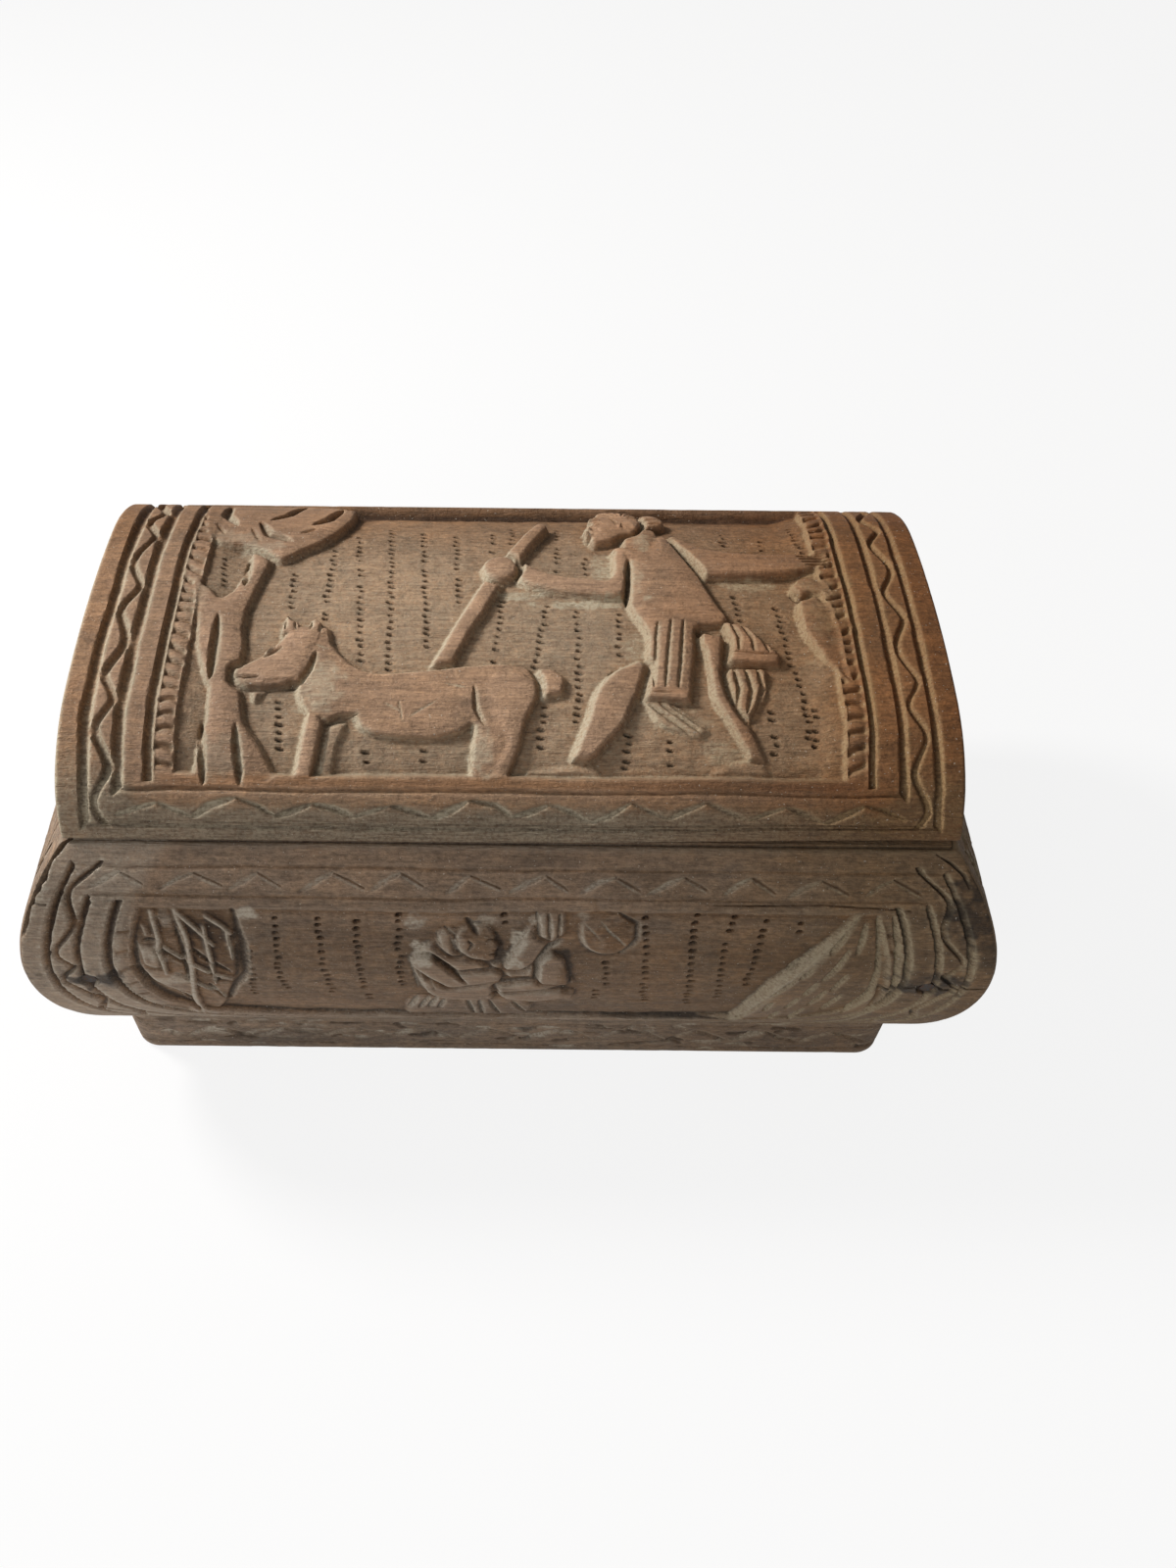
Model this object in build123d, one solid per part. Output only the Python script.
"""Carved wooden box with bellied walls, a low plinth and a hinged, arched lid.

Panels are sunk into the lid and the walls round flat-topped figures in relief: a herder with
a staff, a goat and a tree on the lid, and a lattice, a crouching figure, a disc and a leaf below.
Three grooves cross the lid beside each end of its panel.

Lengths are in millimetres and angles in degrees. The origin lies on the table under the
middle of the box. X runs along the box, Y from its front to its back and Z up.
Each solid that the box is made of is written to a STEP file of its own in parts/.
"""

from build123d import *
import math
import os

# Lid: an arch of shoulder, haunch and crown arcs that meet smoothly
LID_LENGTH = 265.0
LID_DEPTH = 142.0
SPRING_ANGLE = 78.0
SHOULDER_RADIUS = 29.0
SHOULDER_TURN = 44.0
HAUNCH_RADIUS = 54.0
HAUNCH_TURN = 26.5
VAULT_THICKNESS = 10.0
LID_END_THICKNESS = 10.0

# Walls of the base: flat inside, bellied outside, mitred at the corners
WALL_AT_RIM = 11.0
UPPER_BELLY_RADIUS = 69.0
UPPER_BELLY_TURN = 44.6
LOWER_BELLY_RADIUS = 94.5
LOWER_BELLY_TURN = 33.4
FLOOR_THICKNESS = 8.0

# Plinth: four mitred rails under the walls
PLINTH_HEIGHT = 24.0
PLINTH_PROJECTION = 0.6
PLINTH_CORNER_RADIUS = 9.0
RAIL_WIDTH = 24.0

# Sunk panels. An inset is measured from a board's ends.
LID_PANEL_INSET = 34.0
LID_PANEL_MARGIN = 11.0
LID_PANEL_DEPTH = 3.8
WALL_PANEL_INSET = 33.0
WALL_PANEL_DROP = 17.0
WALL_PANEL_LIFT = 15.0
WALL_PANEL_DEPTH = 2.0

# Grooves across the lid, each placed by its middle, measured from the lid's end
GROOVE_WIDTH = 3.0
GROOVE_DEPTH = 1.6
OUTER_GROOVE_INSET = 8.1
MIDDLE_GROOVE_INSET = 18.0
INNER_GROOVE_INSET = 26.8

# Outlines of the figures left standing in the panels, counted in carving steps. The first
# number runs along the board from its middle. The second follows the board's curve, back
# from the lid's front edge or down from a wall's rim.
CARVING_STEP = 1.0
TREE_TRUNK = [(-93, 16), (-90, 40), (-91, 52), (-97, 68), (-100, 93), (-91, 87), (-86, 110),
              (-77, 107), (-82, 76), (-80, 50), (-76, 35), (-67, 16)]
TREE_CROWN = [(-103, 150), (-104, 141), (-101, 118), (-86, 112), (-75, 104), (-61, 115),
              (-53, 131), (-53, 150)]
GOAT = [(-84, 56), (-81, 50), (-75, 44), (-71, 50), (-64, 50), (-60, 40), (-65, 16), (-58, 16),
        (-54, 38), (-45, 38), (-40, 33), (-22, 33), (-11, 37), (-12, 16), (-1, 16), (5, 38),
        (16, 48), (15, 57), (5, 60), (-38, 56), (-48, 60), (-56, 72), (-57, 79), (-71, 80),
        (-74, 67)]
STAFF = [(-26, 56), (-10, 94), (6, 127), (12, 124), (-4, 91), (-19, 54)]
STAFF_ARM = [(39, 113), (31, 113), (32, 96), (10, 101), (2, 108), (-7, 108), (-10, 99), (-3, 95),
             (10, 91), (36, 87)]
CLUB_ARM = [(49, 121), (54, 124), (62, 109), (102, 108), (102, 103), (60, 98), (54, 108)]
CLUB = [(88, 92), (91, 98), (99, 95), (101, 85), (101, 52), (94, 63), (89, 78)]
HEAD = [(25, 112), (22, 121), (25, 134), (32, 139), (46, 139), (53, 133), (52, 126), (45, 121),
        (45, 110), (36, 110)]
TORSO = [(31, 113), (45, 112), (52, 117), (63, 91), (73, 76), (57, 72), (43, 71), (36, 84),
         (38, 104)]
APRON = [(42, 80), (57, 80), (54, 45), (39, 46)]
REAR_FLAP = [(65, 78), (73, 77), (83, 64), (78, 58), (70, 39), (66, 45), (64, 60)]
FRONT_LEG = [(27, 54), (39, 63), (42, 60), (38, 47), (24, 25), (17, 26)]
REAR_LEG = [(57, 74), (59, 50), (69, 27), (76, 27), (65, 48), (66, 74)]
LATTICE = [(-114, 24), (-108, 18), (-83, 18), (-84, 49), (-89, 62), (-100, 90), (-108, 61),
           (-116, 46)]
CROUCHING_FIGURE = [(-32, 43), (-20, 26), (-6, 26), (-2, 36), (-5, 44), (0, 43), (7, 21),
                    (17, 21), (17, 31), (10, 42), (18, 42), (21, 52), (21, 66), (8, 69),
                    (-17, 69), (-28, 63)]
DISC = [(20, 27), (25, 21), (34, 21), (39, 27), (39, 34), (34, 40), (25, 40), (20, 34)]
LEAF = [(75, 89), (80, 60), (81, 49), (105, 18), (111, 18), (120, 54), (111, 88), (96, 97)]
ROSETTE = [(-22, 45), (-9, 32), (9, 32), (22, 45), (22, 63), (9, 76), (-9, 76), (-22, 63)]
END_LEAF = [(-27, 88), (-25, 66), (2, 30), (20, 21), (31, 26), (33, 44), (27, 66), (11, 82)]

# Butt hinges let into the rims at the back
HINGE_SPACING = 150.0
HINGE_LENGTH = 30.0
LEAF_WIDTH = 9.0
LEAF_THICKNESS = 1.2
KNUCKLE_RADIUS = 2.2
KNUCKLE_OFFSET = 2.0
PIN_RADIUS = 1.0
PIN_HEAD_RADIUS = 1.6
PIN_HEAD_THICKNESS = 0.6

# Nails and screws
NAIL_RADIUS = 1.1
NAIL_HEAD_RADIUS = 2.2
NAIL_HEAD_THICKNESS = 1.0
NAIL_POINT = 3.0
NAIL_POINT_RADIUS = 0.3
CORNER_NAIL_LENGTH = 42.0
FLOOR_NAIL_LENGTH = 24.0
PLINTH_NAIL_LENGTH = 38.0
LONG_SIDE_NAIL_COUNT = 3
LONG_SIDE_NAIL_SPACING = 90.0
SHORT_SIDE_NAIL_COUNT = 2
SHORT_SIDE_NAIL_SPACING = 60.0
SCREW_RADIUS = 1.0
SCREW_HEAD_RADIUS = 1.9
SCREW_HEAD_HEIGHT = 0.9
SCREW_LENGTH = 8.0
SCREW_POINT = 1.5
SCREW_POINT_RADIUS = 0.25
SCREW_SPACING = 18.0
SCREW_SETBACK = 5.5
SLOT_WIDTH = 0.5
SLOT_DEPTH = 0.4

# Clearances
SEAM_GAP = 0.4
FLOOR_CLEARANCE = 0.25
GLUE_GAP = 0.05
HOLE_CLEARANCE = 0.02
NAIL_SET = 0.8
PIN_CLEARANCE = 0.05
KNUCKLE_GAP = 0.3
KNUCKLE_CLEARANCE = 0.35
MORTISE_FIT = 0.15

# Sizes that follow from those above. A reach is measured outward from the lid's edge.
BELLY_Z = PLINTH_HEIGHT + LOWER_BELLY_RADIUS * math.sin(math.radians(LOWER_BELLY_TURN))
RIM_Z = BELLY_Z + UPPER_BELLY_RADIUS * math.sin(math.radians(UPPER_BELLY_TURN))
LID_Z = RIM_Z + SEAM_GAP
BELLY_REACH = UPPER_BELLY_RADIUS * (1 - math.cos(math.radians(UPPER_BELLY_TURN)))
FOOT_REACH = BELLY_REACH - LOWER_BELLY_RADIUS * (1 - math.cos(math.radians(LOWER_BELLY_TURN)))
PLINTH_REACH = FOOT_REACH + PLINTH_PROJECTION
RAIL_INNER_REACH = PLINTH_REACH - RAIL_WIDTH
FLOOR_TOP = PLINTH_HEIGHT + FLOOR_THICKNESS
HALF_LENGTH = LID_LENGTH / 2
HALF_DEPTH = LID_DEPTH / 2
AXIS_Y = HALF_DEPTH + KNUCKLE_OFFSET
AXIS_Z = RIM_Z + SEAM_GAP / 2
KNUCKLE_LENGTH = (HINGE_LENGTH - 2 * KNUCKLE_GAP) / 3
CUT_MARGIN = 5.0
BELLY_ARCS = [(UPPER_BELLY_RADIUS, UPPER_BELLY_TURN), (LOWER_BELLY_RADIUS, LOWER_BELLY_TURN)]

# Turn about Z that takes a part built for the front to each side of the box
FRONT, RIGHT, BACK, LEFT = 0, 90, 180, -90

# Figures in each panel
MIRRORED_LATTICE = [(-along, run) for along, run in LATTICE]
LID_FIGURES = [TREE_TRUNK, TREE_CROWN, GOAT, STAFF, STAFF_ARM, CLUB_ARM, CLUB, HEAD, TORSO, APRON,
               REAR_FLAP, FRONT_LEG, REAR_LEG]
WALL_FIGURES = {
    FRONT: [LATTICE, CROUCHING_FIGURE, DISC, LEAF],
    BACK: [LATTICE, ROSETTE, MIRRORED_LATTICE],
    LEFT: [END_LEAF],
    RIGHT: [END_LEAF],
}


def travel(arcs, angle, run):
    """Way made forward by a run along arcs that start at an angle to it and turn down."""
    way = 0.0
    for radius, turn in arcs:
        step = min(run, radius * math.radians(turn))
        start = math.radians(angle)
        way += radius * (math.sin(start) - math.sin(start - step / radius))
        run -= step
        angle -= turn
    return way


def belly_face(outer_x, inner_x, inset):
    """Area behind a wall's belly, moved inward by inset: x is the reach outward, y the height."""
    lean = math.radians(UPPER_BELLY_TURN)
    rim = (outer_x - inset * math.cos(lean), RIM_Z - inset * math.sin(lean))
    heading = (math.sin(lean), -math.cos(lean))
    upper = JernArc(rim, heading, UPPER_BELLY_RADIUS - inset, -UPPER_BELLY_TURN)
    lower = JernArc(upper @ 1, (0, -1), LOWER_BELLY_RADIUS - inset, -LOWER_BELLY_TURN)
    foot = lower @ 1
    inside = Polyline(foot, (inner_x, foot.Y), (inner_x, rim[1]), rim)
    return make_face(upper + lower + inside)


def belly_section(inset=0.0):
    """Section of a wall board, less a skin of the inset's thickness."""
    return belly_face(0, -WALL_AT_RIM, inset)


def rail_section():
    """Section of a plinth rail, in the same axes as a wall board's."""
    return Pos(PLINTH_REACH - RAIL_WIDTH / 2, PLINTH_HEIGHT / 2) * Rectangle(RAIL_WIDTH, PLINTH_HEIGHT)


def mitred_bar(section, half_run, half_out, side):
    """Bar of one section with ends cut at 45 degrees, turned to one side of the box."""
    outer = BELLY_REACH + CUT_MARGIN
    inner = RAIL_INNER_REACH - CUT_MARGIN
    plane = Plane(origin=(0, -half_out, 0), x_dir=(0, -1, 0), z_dir=(-1, 0, 0))
    bar = extrude(plane * section, amount=half_run + outer, both=True)
    plan = Polyline(
        (-half_run - outer, -half_out - outer),
        (half_run + outer, -half_out - outer),
        (half_run + inner, -half_out - inner),
        (-half_run - inner, -half_out - inner),
        close=True,
    )
    between_mitres = extrude(make_face(plan), amount=RIM_Z + CUT_MARGIN)
    return Rot(0, 0, side) * (bar & between_mitres)


def wall_panel(half_run, half_out, side):
    """The room sunk in a wall, round its figures. Its ends follow the belly of the walls beside it."""
    skin = belly_section(-CUT_MARGIN) - belly_section(WALL_PANEL_DEPTH)
    room = mitred_bar(skin, half_run, half_out, FRONT)
    top = RIM_Z - WALL_PANEL_DROP
    foot = PLINTH_HEIGHT + WALL_PANEL_LIFT
    half_view = belly_face(half_run - WALL_PANEL_INSET, 0, 0)
    band = Pos(0, (top + foot) / 2) * Rectangle(2 * (half_run + BELLY_REACH), top - foot)
    view = (half_view + mirror(half_view, Plane.YZ)) & band
    for outline in WALL_FIGURES[side]:
        steps = [(along * CARVING_STEP, run * CARVING_STEP) for along, run in outline]
        points = [(x, RIM_Z - travel(BELLY_ARCS, UPPER_BELLY_TURN, run)) for x, run in steps]
        view -= make_face(Polyline(*points, close=True))
    room &= extrude(Plane.XZ * view, amount=half_out + BELLY_REACH + CUT_MARGIN)
    return Rot(0, 0, side) * room


def wall_board(side):
    """One bellied wall with its sunk panel, before any hole is cut in it."""
    half_run, half_out = HALF_DEPTH, HALF_LENGTH
    if side in (FRONT, BACK):
        half_run, half_out = HALF_LENGTH, HALF_DEPTH
    board = mitred_bar(belly_section(), half_run, half_out, side)
    return board - wall_panel(half_run, half_out, side)


def plinth_rail(side):
    """One rail of the plinth, with rounded corners at its mitred ends."""
    length = LID_LENGTH + 2 * PLINTH_REACH
    depth = LID_DEPTH + 2 * PLINTH_REACH
    outline = extrude(RectangleRounded(length, depth, PLINTH_CORNER_RADIUS), amount=PLINTH_HEIGHT)
    if side in (FRONT, BACK):
        return mitred_bar(rail_section(), HALF_LENGTH, HALF_DEPTH, side) & outline
    return mitred_bar(rail_section(), HALF_DEPTH, HALF_LENGTH, side) & outline


def floor_board():
    """Bottom panel that lies on the rails between the walls."""
    length = LID_LENGTH - 2 * (WALL_AT_RIM + FLOOR_CLEARANCE)
    depth = LID_DEPTH - 2 * (WALL_AT_RIM + FLOOR_CLEARANCE)
    panel = extrude(Rectangle(length, depth), amount=FLOOR_THICKNESS)
    return Pos(0, 0, PLINTH_HEIGHT) * panel


def arch_arcs():
    """Radius and turn of each arc of the lid, from its front edge to its back edge."""
    crown_turn = SPRING_ANGLE - SHOULDER_TURN - HAUNCH_TURN
    side = [(SHOULDER_RADIUS, SHOULDER_TURN), (HAUNCH_RADIUS, HAUNCH_TURN)]
    side_width = travel(side, SPRING_ANGLE, math.inf)
    crown_radius = (HALF_DEPTH - side_width) / math.sin(math.radians(crown_turn))
    return side + [(crown_radius, 2 * crown_turn)] + side[::-1]


def arch_face(inset):
    """Area under the lid's arch when the arch is moved inward by inset, in the YZ plane."""
    spring = math.radians(SPRING_ANGLE)
    start = (-HALF_DEPTH + inset * math.sin(spring), LID_Z - inset * math.cos(spring))
    point = start
    heading = (math.cos(spring), math.sin(spring))
    outline = Curve()
    for radius, turn in arch_arcs():
        arc = JernArc(point, heading, radius - inset, -turn)
        outline += arc
        point = arc @ 1
        heading = arc % 1
    outline += Line(point, start)
    return Plane.YZ * make_face(outline)


def lid_panel():
    """The room sunk in the top of the lid, round its figures."""
    skin = arch_face(-CUT_MARGIN) - arch_face(LID_PANEL_DEPTH)
    room = extrude(skin, amount=HALF_LENGTH, both=True)
    view = Rectangle(LID_LENGTH - 2 * LID_PANEL_INSET, LID_DEPTH - 2 * LID_PANEL_MARGIN)
    for outline in LID_FIGURES:
        steps = [(along * CARVING_STEP, run * CARVING_STEP) for along, run in outline]
        points = [(x, travel(arch_arcs(), SPRING_ANGLE, run) - HALF_DEPTH) for x, run in steps]
        view -= make_face(Polyline(*points, close=True))
    return room & extrude(view, amount=LID_Z + HALF_DEPTH)


def lid_groove():
    """A groove over the arch, across the middle of the lid."""
    skin = arch_face(-CUT_MARGIN) - arch_face(GROOVE_DEPTH)
    return extrude(skin, amount=GROOVE_WIDTH / 2, both=True)


def lid_vault():
    """The arched shell of the lid with its sunk panel and grooves, before the hinges are let in."""
    outside = extrude(arch_face(0), amount=HALF_LENGTH, both=True)
    inside = extrude(arch_face(VAULT_THICKNESS), amount=HALF_LENGTH + CUT_MARGIN, both=True)
    vault = outside - inside - lid_panel()
    for inset in (OUTER_GROOVE_INSET, MIDDLE_GROOVE_INSET, INNER_GROOVE_INSET):
        middle = HALF_LENGTH - inset
        vault = cut(vault, lid_groove(), [Pos(-middle, 0, 0), Pos(middle, 0, 0)])
    return vault


def lid_end(sign):
    """Panel that closes the arch, flush with the end of the vault. sign is -1 for the left."""
    panel = extrude(arch_face(VAULT_THICKNESS + GLUE_GAP), amount=LID_END_THICKNESS / 2, both=True)
    above_rim = Pos(0, 0, LID_Z + HALF_DEPTH / 2) * Box(LID_LENGTH, LID_DEPTH, HALF_DEPTH)
    return Pos(sign * (HALF_LENGTH - LID_END_THICKNESS / 2), 0, 0) * (panel & above_rim)


def nail(length):
    """A nail that points down, with the top of its head at the origin."""
    neck = NAIL_HEAD_THICKNESS
    head = Pos(0, 0, -neck / 2) * Cylinder(NAIL_HEAD_RADIUS, neck)
    straight = length - neck - NAIL_POINT
    shank = Pos(0, 0, -neck - straight / 2) * Cylinder(NAIL_RADIUS, straight)
    point_middle = -length + NAIL_POINT / 2
    point = Pos(0, 0, point_middle) * Cone(NAIL_POINT_RADIUS, NAIL_RADIUS, NAIL_POINT)
    return head + shank + point


def nail_hole(length):
    """The room that a nail takes, open above its sunk head."""
    bore = Pos(0, 0, -length / 2) * Cylinder(NAIL_RADIUS + HOLE_CLEARANCE, length)
    height = NAIL_HEAD_THICKNESS + NAIL_SET + CUT_MARGIN
    sink_radius = NAIL_HEAD_RADIUS + HOLE_CLEARANCE
    sink = Pos(0, 0, height / 2 - NAIL_HEAD_THICKNESS) * Cylinder(sink_radius, height)
    return bore + sink


def screw():
    """A slotted countersunk screw that points down, with the top of its head at the origin."""
    neck = SCREW_HEAD_HEIGHT
    head = Pos(0, 0, -neck / 2) * Cone(SCREW_RADIUS, SCREW_HEAD_RADIUS, neck)
    straight = SCREW_LENGTH - neck - SCREW_POINT
    shank = Pos(0, 0, -neck - straight / 2) * Cylinder(SCREW_RADIUS, straight)
    point_middle = -SCREW_LENGTH + SCREW_POINT / 2
    point = Pos(0, 0, point_middle) * Cone(SCREW_POINT_RADIUS, SCREW_RADIUS, SCREW_POINT)
    slot = Pos(0, 0, -SLOT_DEPTH / 2) * Box(2 * SCREW_HEAD_RADIUS, SLOT_WIDTH, SLOT_DEPTH)
    return head + shank + point - slot


def screw_hole():
    """The room that a screw takes, with a countersink for its head."""
    bore_radius = SCREW_RADIUS + HOLE_CLEARANCE
    sink_radius = SCREW_HEAD_RADIUS + HOLE_CLEARANCE
    bore = Pos(0, 0, -SCREW_LENGTH / 2) * Cylinder(bore_radius, SCREW_LENGTH)
    sink = Pos(0, 0, -SCREW_HEAD_HEIGHT / 2) * Cone(bore_radius, sink_radius, SCREW_HEAD_HEIGHT)
    return bore + sink


def along_axis(radius, length, middle=0.0):
    """A rod along the hinge axis, in a hinge's own frame with the axis on X."""
    return Pos(middle, 0, 0) * Rot(0, 90, 0) * Cylinder(radius, length)


def hinge_leaf(own_knuckles, other_knuckles):
    """A lower leaf in a hinge's own frame. Knuckles are numbered -1, 0 and 1 along X."""
    width = LEAF_WIDTH + KNUCKLE_OFFSET
    pitch = KNUCKLE_LENGTH + KNUCKLE_GAP
    middle_z = LEAF_THICKNESS / 2 - KNUCKLE_RADIUS
    leaf = Pos(0, -width / 2, middle_z) * Box(HINGE_LENGTH, width, LEAF_THICKNESS)
    for number in own_knuckles:
        leaf += along_axis(KNUCKLE_RADIUS, KNUCKLE_LENGTH, number * pitch)
    for number in other_knuckles:
        room = KNUCKLE_LENGTH + 2 * KNUCKLE_GAP
        leaf -= along_axis(KNUCKLE_RADIUS + KNUCKLE_CLEARANCE, room, number * pitch)
    leaf -= along_axis(PIN_RADIUS + PIN_CLEARANCE, HINGE_LENGTH + CUT_MARGIN)
    for place in leaf_screw_places():
        leaf -= place * screw_hole()
    return leaf


def leaf_screw_places():
    """Where the screws of a lower leaf go, in the hinge's own frame."""
    y = -KNUCKLE_OFFSET - SCREW_SETBACK
    z = -KNUCKLE_RADIUS + LEAF_THICKNESS
    return [Pos(-SCREW_SPACING / 2, y, z), Pos(SCREW_SPACING / 2, y, z)]


def hinge_pin():
    """Pin with a riveted head at each end, in the hinge's own frame."""
    head_middle = (HINGE_LENGTH + PIN_HEAD_THICKNESS) / 2
    pin = along_axis(PIN_RADIUS, HINGE_LENGTH)
    pin += along_axis(PIN_HEAD_RADIUS, PIN_HEAD_THICKNESS, head_middle)
    pin += along_axis(PIN_HEAD_RADIUS, PIN_HEAD_THICKNESS, -head_middle)
    return pin


def hinge_mortise():
    """The room cut in a rim for a lower leaf, the knuckles and the pin heads."""
    length = HINGE_LENGTH + 2 * MORTISE_FIT
    width = KNUCKLE_OFFSET + LEAF_WIDTH + MORTISE_FIT
    pocket = Pos(0, -width / 2, -KNUCKLE_RADIUS / 2) * Box(length, width, KNUCKLE_RADIUS)
    notch_length = HINGE_LENGTH + 2 * (PIN_HEAD_THICKNESS + KNUCKLE_CLEARANCE)
    return pocket + along_axis(KNUCKLE_RADIUS + KNUCKLE_CLEARANCE, notch_length)


def row(count, spacing):
    """Evenly spaced places about zero."""
    return [(i - (count - 1) / 2) * spacing for i in range(count)]


def ring_places(reach, z):
    """Places for nails all round the box at one reach."""
    places = []
    for x in row(LONG_SIDE_NAIL_COUNT, LONG_SIDE_NAIL_SPACING):
        places += [Pos(x, HALF_DEPTH + reach, z), Pos(x, -HALF_DEPTH - reach, z)]
    for y in row(SHORT_SIDE_NAIL_COUNT, SHORT_SIDE_NAIL_SPACING):
        places += [Pos(HALF_LENGTH + reach, y, z), Pos(-HALF_LENGTH - reach, y, z)]
    return places


def cut(part, tool, places):
    """The part with the tool taken away at each place."""
    for place in places:
        part -= place * tool
    return part


def copies(part, places):
    """Separate copies of a part, as one group."""
    return Compound([place * part for place in places])


def build():
    """Every node of the box by name."""
    nodes = {}

    nail_depth = HALF_DEPTH + BELLY_REACH - NAIL_SET
    front_nails = [Pos(x, -nail_depth, BELLY_Z) * Rot(90, 0, 0) for x in (-HALF_LENGTH, HALF_LENGTH)]
    back_nails = [Pos(x, nail_depth, BELLY_Z) * Rot(-90, 0, 0) for x in (-HALF_LENGTH, HALF_LENGTH)]
    under_walls = [p * Rot(180, 0, 0) for p in ring_places((FOOT_REACH - WALL_AT_RIM) / 2, NAIL_SET)]
    ledge_middle = (RAIL_INNER_REACH - WALL_AT_RIM) / 2
    on_ledge = ring_places(ledge_middle, FLOOR_TOP)
    hinges = {
        "left": Pos(-HINGE_SPACING / 2, AXIS_Y, AXIS_Z),
        "right": Pos(HINGE_SPACING / 2, AXIS_Y, AXIS_Z),
    }
    base_screws = [hinge * place for hinge in hinges.values() for place in leaf_screw_places()]
    over = Rot(0, 180, 0)
    lid_screws = [hinge * over * place for hinge in hinges.values() for place in leaf_screw_places()]

    boards = {"front_board": FRONT, "back_board": BACK, "left_end_board": LEFT, "right_end_board": RIGHT}
    for name, side in boards.items():
        board = cut(wall_board(side), nail_hole(CORNER_NAIL_LENGTH), front_nails + back_nails)
        nodes[name] = cut(board, nail_hole(PLINTH_NAIL_LENGTH), under_walls)
    nodes["back_board"] = cut(nodes["back_board"], hinge_mortise(), hinges.values())
    nodes["back_board"] = cut(nodes["back_board"], screw_hole(), base_screws)

    nodes["floor_board"] = cut(floor_board(), nail_hole(FLOOR_NAIL_LENGTH), on_ledge)

    rails = {
        "plinth_front_rail": FRONT,
        "plinth_back_rail": BACK,
        "plinth_left_rail": LEFT,
        "plinth_right_rail": RIGHT,
    }
    for name, side in rails.items():
        rail = cut(plinth_rail(side), nail_hole(PLINTH_NAIL_LENGTH), under_walls)
        nodes[name] = cut(rail, nail_hole(FLOOR_NAIL_LENGTH), on_ledge)

    nodes["front_board_nails"] = copies(nail(CORNER_NAIL_LENGTH), front_nails)
    nodes["back_board_nails"] = copies(nail(CORNER_NAIL_LENGTH), back_nails)
    nodes["floor_nails"] = copies(nail(FLOOR_NAIL_LENGTH), on_ledge)
    nodes["plinth_nails"] = copies(nail(PLINTH_NAIL_LENGTH), under_walls)

    vault = cut(lid_vault(), over * hinge_mortise(), hinges.values())
    nodes["lid_vault"] = cut(vault, screw_hole(), lid_screws)
    nodes["lid_left_end"] = lid_end(-1)
    nodes["lid_right_end"] = lid_end(1)

    for name, hinge in hinges.items():
        nodes[f"{name}_hinge_base_leaf"] = hinge * hinge_leaf((-1, 1), (0,))
        nodes[f"{name}_hinge_lid_leaf"] = hinge * over * hinge_leaf((0,), (-1, 1))
        nodes[f"{name}_hinge_pin"] = hinge * hinge_pin()
    nodes["base_hinge_screws"] = copies(screw(), base_screws)
    nodes["lid_hinge_screws"] = copies(screw(), lid_screws)
    return nodes


os.makedirs("parts", exist_ok=True)
for node_name, node in build().items():
    export_step(node, f"parts/{node_name}.step")
